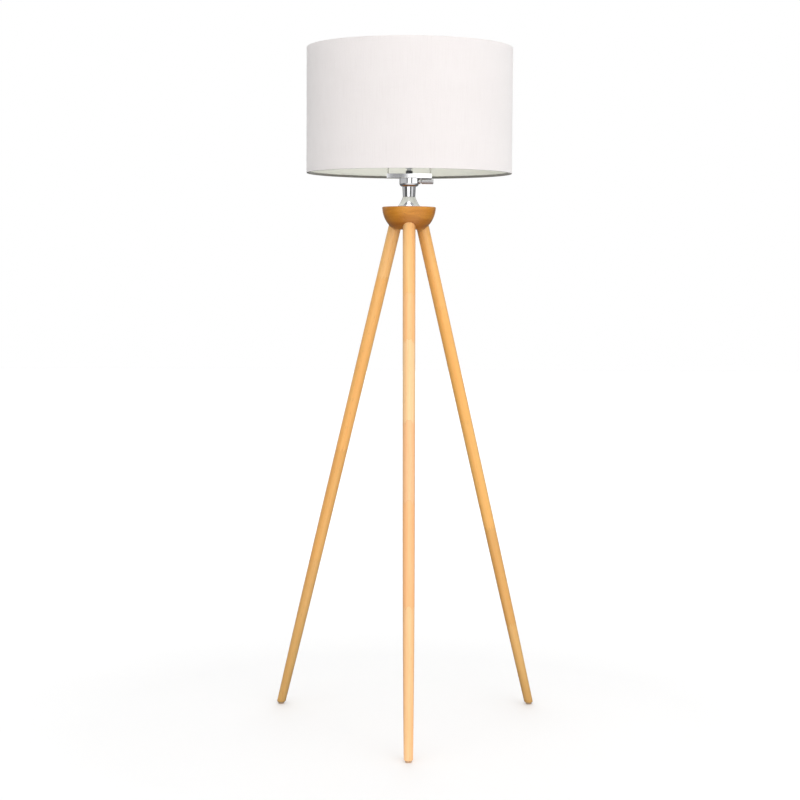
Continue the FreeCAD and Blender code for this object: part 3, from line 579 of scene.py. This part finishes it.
def leg_mesh():
    """The leg in its own frame, Z down the leg and X outward and up. Its foot is cut level with the floor."""
    bm = bmesh.new()
    foot = (APEX_HEIGHT - PAD_TOP) / math.cos(TILT)
    rings = [[bm.verts.new((0, 0, LEG_TOP / 1000))]]
    for s, shrink, flat in leg_stations(foot):
        r = leg_radius(s) + shrink
        ring = []
        for k in range(LEG_TURNS):
            angle = 2 * math.pi * k / LEG_TURNS
            x, y = r * math.cos(angle), r * math.sin(angle)
            ring.append(bm.verts.new((x / 1000, y / 1000, (s + flat * x * math.tan(TILT)) / 1000)))
        rings.append(ring)
    rings.append([bm.verts.new((0, 0, foot / 1000))])
    for one, other in zip(rings, rings[1:]):
        bridge(bm, one, other)
    return finished(bm)


for side, azimuth in (("front", -90), ("right", 30), ("left", 150)):
    outward = Vector((math.cos(math.radians(azimuth)), math.sin(math.radians(azimuth)), 0))
    down = outward * math.sin(TILT) - Vector((0, 0, math.cos(TILT)))
    across = outward * math.cos(TILT) + Vector((0, 0, math.sin(TILT)))
    place = Matrix((across, down.cross(across), down)).transposed().to_4x4()
    place.translation = (0, 0, APEX_HEIGHT / 1000)
    piece("leg_turned_" + side, leg_mesh(), "base", WOOD[side], ["leg_" + side], place)
    finish_node("foot_pad_" + side, FELT)


# ---- hub and stem ----

PIPE_HOLE = 5.3
HUSK_FOOT, NECK_FOOT, NECK_TOP = 1166.0, 1188.0, 1211.0
LID_FOOT, LID_TOP, LID_RADIUS = 1229.5, 1231.0, 21.85
CLEAR = 0.05
HUSK_RADIUS, HUSK_NECK, HUSK_FLARE, HUSK_WALL = 25.0, 14.2, 60.0, 1.2


def flare(low, high, radius, steps=16):
    """Points along a bell's hollow curve from its lip to its neck, both ends included."""
    low, high = Vector(low), Vector(high)
    along = high - low
    out = Vector((along.y, -along.x)).normalized()
    centre = (low + high) / 2 + out * math.sqrt(radius * radius - along.length_squared / 4)
    return [tuple(centre + swung(low - centre, high - centre, k / steps)) for k in range(steps + 1)]


finish_node("hub_bowl", BOWL)
for node in ("leg_studs", "leg_inserts", "threaded_stem", "hub_washer", "hub_nut", "lampholder_nut"):
    finish_node(node, ZINC)
finish_node("cord_bushing", BLACK, 0.4)

husk_inside = NECK_FOOT - HUSK_WALL
husk_lip = [(HUSK_RADIUS - HUSK_WALL, HUSK_FOOT + CLEAR), (24.7, HUSK_FOOT + CLEAR),
            (24.9, HUSK_FOOT + 0.15), (HUSK_RADIUS, HUSK_FOOT + 0.35)]
bell = flare((HUSK_RADIUS, HUSK_FOOT + 2.0), (HUSK_NECK, NECK_FOOT), HUSK_FLARE)
inner_bell = flare((HUSK_RADIUS - HUSK_WALL, HUSK_FOOT + 1.4), (HUSK_NECK - HUSK_WALL, husk_inside),
                   HUSK_FLARE + HUSK_WALL)
husk_outline = husk_lip + bell + [(PIPE_HOLE, NECK_FOOT), (PIPE_HOLE, husk_inside)] + inner_bell[::-1]
piece("husk_turned", lathe(husk_outline), "base", CHROME, ["husk_cone"])

neck_outline = softened([
    (12.8, NECK_FOOT + CLEAR, 0.2), (14.0, NECK_FOOT + CLEAR, 0.5),
    (15.2, NECK_TOP - CLEAR, 0.5), (14.0, NECK_TOP - CLEAR, 0.2)])
piece("neck_turned", lathe(neck_outline), "base", CHROME, ["neck_tube"])

finish_node("switch_housing", CHROME)
lid_outline = softened([
    (PIPE_HOLE, LID_FOOT + CLEAR, 0.2), (LID_RADIUS, LID_FOOT + CLEAR, 0.3),
    (LID_RADIUS, LID_TOP - CLEAR, 0.7), (PIPE_HOLE, LID_TOP - CLEAR, 0.2)])
piece("switch_lid", lathe(lid_outline), "base", CHROME, ["switch_cover"])
finish_node("switch_body", PHENOLIC, 0.5)
finish_node("switch_bush", NICKEL, 0.2)
finish_node("switch_nut", CHROME, 0.5)
finish_node("switch_shaft", NICKEL)
finish_node("switch_cam", PHENOLIC)


# ---- knob: fluted, its axis along X ----

SHAFT_HEIGHT = 1.2235
KNOB_RADIUS = 6.5
KNOB_FLUTES = 12
KNOB_EDGE = 1.2
FLUTE_DEPTH = 0.35
FLUTES_FROM, FLUTES_TO = 29.5, 51.5
LONG_RUN = 4


def fluting(angle, radius, height):
    """Hollows round the knob that fade out towards its ends."""
    if radius < KNOB_RADIUS - KNOB_EDGE or not FLUTES_FROM < height < FLUTES_TO:
        return 0
    fade = min(1, (height - FLUTES_FROM) / KNOB_EDGE, (FLUTES_TO - height) / KNOB_EDGE)
    return -FLUTE_DEPTH * fade * (0.5 - 0.5 * math.cos(KNOB_FLUTES * angle)) ** 2


knob_outline = softened([
    (3.1, 27.0, 0.2), (5.6, 27.0, 0.4), (5.6, 28.4, 0.2), (KNOB_RADIUS, 28.8, 0.4), (KNOB_RADIUS, 52.8, 1.4),
    (4.6, 54.0, 0.8), (3.0, 53.7, 0.5), (0.0, 53.7)], closed=False)
knob_profile = [(0.0, 46.6), (3.1, 46.6)]
for low, high in zip(knob_outline, knob_outline[1:]):
    if high[1] - low[1] > LONG_RUN:
        knob_profile += column(low[0], low[1], high[1], 24)[:-1]
    else:
        knob_profile.append(low)
knob_profile.append(knob_outline[-1])
knob_place = Matrix.Translation((0, 0, SHAFT_HEIGHT)) @ Matrix.Rotation(math.pi / 2, 4, "Y")
piece("knob_turned", lathe(knob_profile, 192, fluting), "knob", SATIN, ["switch_knob"], knob_place)


# ---- harp and lampholder ----

HOLDER_RADIUS, HOLDER_LOW, HOLDER_TOP = 20.0, 1276.1, 1311.5

finish_node("harp_saddle", PRESSED)
finish_node("saddle_nut", DARK_STEEL, 0.5)
finish_node("harp", PLATED)
finish_node("harp_seat", NICKEL, 0.3)
finish_node("finial", NICKEL, 0.3)
finish_node("contact_block", PHENOLIC)
for node in ("terminal_screws", "screw_shell", "centre_contact"):
    finish_node(node, BRASS)
finish_node("live_supply_lead", LEAD_BLACK)
finish_node("live_switched_lead", LEAD_BLACK)
finish_node("neutral_lead", LEAD_WHITE)

cap_outline = softened([
    (5.1, 1254.0, 0.2), (9.0, 1254.0, 0.8), (9.0, 1256.2, 0.5), (19.9, 1267.6, 2.0), (20.0, 1275.9, 0.6),
    (18.3, 1275.9, 0.2), (18.3, 1269.0, 0.5), (8.1, 1261.5, 0.3), (5.1, 1261.5, 0.2)])
piece("lampholder_cap_moulded", lathe(cap_outline), "base", PHENOLIC, ["lampholder_cap"])

# the thread that a shade ring would screw onto
ribs = threaded(19, 1281, 1309, pitch=2.8, depth=0.55)
holder_outline = (
    [(18.2, HOLDER_LOW)] + column(HOLDER_RADIUS, HOLDER_LOW, HOLDER_TOP, 150)
    + [(19.6, HOLDER_TOP + 0.4), (18.6, HOLDER_TOP + 0.4), (18.2, HOLDER_TOP)])
piece("lampholder_body_moulded", lathe(holder_outline, shape=ribs),
      "base", PHENOLIC, ["lampholder_body"])


# ---- bulb ----

BULB_CAP_RADIUS, BULB_CAP_LOW, BULB_CAP_TOP = 13.1, 1292.0, 1314.0

screw_thread = threaded(12.9, 1294.5, 1312, pitch=3.6, depth=0.45)
bulb_cap_outline = (
    [(9.0, BULB_CAP_LOW), (12.6, BULB_CAP_LOW)]
    + column(BULB_CAP_RADIUS, BULB_CAP_LOW + 0.6, BULB_CAP_TOP - 0.4, 110)
    + [(12.7, BULB_CAP_TOP), (12.0, BULB_CAP_TOP), (12.0, BULB_CAP_LOW + 0.7), (9.0, BULB_CAP_LOW + 0.7)])
piece("bulb_cap_rolled", lathe(bulb_cap_outline, shape=screw_thread),
      "bulb", NICKEL, ["bulb_base"])
finish_node("bulb_tip", BRASS)
finish_node("bulb_insulator", BLACK)
finish_node("bulb_board", BOARD)
finish_node("bulb_globe", GLOBE)
finish_node("bulb_housing", BULB_SHELL, 0.4)


# ---- shade ----

SHADE_TOP, SHADE_LOW = 1516.0, 1240.0
CLOTH_INSIDE, CLOTH_OUTSIDE = 227.7, 228.5
SEAM_WIDTH = 0.012
SEAM_LIFT = 0.00042
SEAM_SUNK = 0.0003
SEAM_INSET = 0.3


def seam_mesh(steps=12, rise=3):
    """The lapped end of the cloth: a strip up the back that rises out of the wall and ends in a cut edge."""
    bm = bmesh.new()
    low, high = (SHADE_LOW + SEAM_INSET) / 1000, (SHADE_TOP - SEAM_INSET) / 1000
    under = SHADE_RADIUS - SEAM_SUNK
    columns = []
    for k in range(steps + 1):
        angle = math.pi / 2 + (k / steps - 0.5) * SEAM_WIDTH / SHADE_RADIUS
        over = SHADE_RADIUS + SEAM_LIFT * min(1, k / rise)
        columns.append([bm.verts.new((r * math.cos(angle), r * math.sin(angle), z))
                        for r, z in ((under, low), (over, low), (over, high), (under, high))])
    for one, other in zip(columns, columns[1:]):
        bridge(bm, one, other)
    bm.faces.new(columns[0])
    bm.faces.new(columns[-1])
    return finished(bm)


finish_node("shade_liner", BACKING)
for node in ("shade_ring_top", "shade_ring_bottom", "shade_spider"):
    finish_node(node, ENAMEL)
for node in ("shade_hem_top", "shade_hem_bottom"):
    finish_node(node, TAPE)

cloth_outline = softened([
    (CLOTH_INSIDE, SHADE_LOW, 0.35), (CLOTH_OUTSIDE, SHADE_LOW, 0.5),
    (CLOTH_OUTSIDE, SHADE_TOP, 0.5), (CLOTH_INSIDE, SHADE_TOP, 0.35)])
shade = piece("shade_linen", lathe(cloth_outline, 384), "shade", LINEN, ["shade_fabric"])
seam = piece("shade_seam", seam_mesh(), "shade", LINEN)


# ---- floor and light ----

# The paper floor is washed out to white where it is looked at.
# It lights the lamp from the front, and it is dark behind.
FLOOR_FRONT, FLOOR_BACK = (0.80, 0.80, 0.80), (0.12, 0.12, 0.12)
BRIGHT_SIDE = (math.sin(math.radians(20)), -math.cos(math.radians(20)), 0)
FLOOR_HALF_WIDTH = 14
BLACK_LIGHT, WHITE_LIGHT = (0.0, 0.0, 0.0), (1.0, 1.0, 1.0)

floor_bm = bmesh.new()
bmesh.ops.create_grid(floor_bm, x_segments=1, y_segments=1, size=FLOOR_HALF_WIDTH)
floor = bpy.data.objects.new("floor", finished(floor_bm))
bpy.context.scene.collection.objects.link(floor)
paper = Finish("floor_paper", Roughness=0.6, Specular_IOR_Level=0.2, Emission_Strength=1.0)
spot = paper.place()
speck = paper.noise(paper.stretch(spot, (3, 3, 3)), detail=2)
white = paper.mix(speck, (0.86, 0.86, 0.86), (0.875, 0.875, 0.875))
glow = paper.steps(paper.vector("LENGTH", spot)["Value"], 0.7, 2.4, 0.015, 0.21)
towards_front = paper.vector("DOT_PRODUCT", paper.vector("NORMALIZE", spot)[0], BRIGHT_SIDE)["Value"]
bounce = paper.mix(paper.steps(towards_front, 0.15, 0.95), FLOOR_BACK, FLOOR_FRONT)
watched = paper.node("LightPath").outputs["Is Camera Ray"]
floor.data.materials.append(paper.set(
    Base_Color=paper.mix(watched, bounce, white),
    Emission_Color=paper.mix(paper.times(watched, glow), BLACK_LIGHT, WHITE_LIGHT)))


def area_light(name, at, towards, size, power):
    data = bpy.data.lights.new(name, "AREA")
    data.shape = "RECTANGLE"
    data.size, data.size_y = size
    data.energy = power
    light = bpy.data.objects.new(name, data)
    bpy.context.scene.collection.objects.link(light)
    light.location = at
    light.rotation_mode = "QUATERNION"
    light.rotation_quaternion = (Vector(towards) - Vector(at)).to_track_quat("-Z", "Y")


def around(stops):
    """Light levels as ramp stops, from bearings in degrees: 0 in front of the lamp, positive to its right."""
    return [(bearing / 360 + 0.5, level) for bearing, level in stops]


# what lights the wood and the cloth: bright in front and behind, with flags at the sides
SOFT_WALLS = around([
    (-180, 2.3), (-155, 2.1), (-130, 0.24), (-90, 0.22), (-65, 0.50), (-45, 1.72), (45, 1.72), (65, 0.55),
    (90, 0.22), (130, 0.24), (155, 2.1), (180, 2.3)])
# what the polished metal mirrors: strips and flags, low down, at eye level and overhead
LOW_STRIPS = around([
    (-180, 1.0), (-164, 1.0), (-160, 0.12), (-150, 0.30), (-120, 0.58), (-88, 0.58), (-80, 0.14), (-34, 0.12),
    (-27, 1.9), (-4.0, 1.9), (-3.8, 0.42), (0.5, 0.36), (0.8, 1.9), (10, 1.9), (14, 0.12), (37, 0.12),
    (42, 0.85), (76, 0.85), (80, 0.14), (160, 0.14), (164, 1.0), (180, 1.0)])
SIDE_STRIPS = around([
    (-180, 1.0), (-164, 1.0), (-160, 0.12), (-150, 0.20), (-110, 0.60), (-60, 0.60), (-36, 0.60), (-31, 0.40),
    (-14, 0.34), (-11, 1.9), (19, 1.9), (22, 0.28), (35, 0.28), (39, 1.6), (100, 1.6), (125, 0.4),
    (150, 0.10), (160, 0.12), (164, 1.0), (180, 1.0)])
TOP_STRIPS = around([
    (-180, 0.75), (-120, 0.65), (-95, 0.55), (-80, 0.15), (-36, 0.15), (-26, 1.9), (20, 1.9), (30, 0.15),
    (75, 0.15), (95, 0.50), (150, 0.65), (180, 0.75)])

area_light("key", (1.9, -3.4, 2.7), (0, 0, 0.95), (1.8, 2.2), 14)
area_light("side", (1.5, -0.6, 2.15), (0, 0, 1.42), (0.8, 0.8), 1.0)
area_light("top", (0.3, -0.6, 4.2), (0, 0, 0.8), (3.2, 3.2), 12)

# stands in for the light that comes through the cloth onto the inside of the shade
fill_data = bpy.data.lights.new("shade_fill", "POINT")
fill_data.energy = 0.85
fill_data.shadow_soft_size = 0.1
fill = bpy.data.objects.new("shade_fill", fill_data)
bpy.context.scene.collection.objects.link(fill)
fill.location = (0, 0, 1.42)

# a white studio, bright in front and behind, whose strips and flags the metal mirrors
world = bpy.data.worlds.new("studio")
bpy.context.scene.world = world
world.use_nodes = True
sky = Tree(world.node_tree)
background = world.node_tree.nodes["Background"]
x, y, z = sky.split(sky.node("TexCoord").outputs["Generated"])
bearing = sky.steps(sky.math("ARCTAN2", x, sky.times(y, -1.0)), -math.pi, math.pi)
soft = sky.mix(sky.steps(z, 0.35, 0.8), sky.ramp(bearing, SOFT_WALLS), WHITE_LIGHT)
mirrored = sky.mix(sky.steps(z, -0.02, 0.0), sky.ramp(bearing, LOW_STRIPS), sky.ramp(bearing, SIDE_STRIPS))
mirrored = sky.mix(sky.steps(z, 0.22, 0.34), mirrored, sky.ramp(bearing, TOP_STRIPS))
ray = sky.node("LightPath").outputs
lit = sky.mix(ray["Is Glossy Ray"], soft, mirrored)
sky.put(background.inputs["Color"], sky.mix(ray["Is Camera Ray"], lit, WHITE_LIGHT))
background.inputs["Strength"].default_value = 1.0

view = bpy.context.scene.view_settings
view.view_transform = "Standard"
view.look = "None"
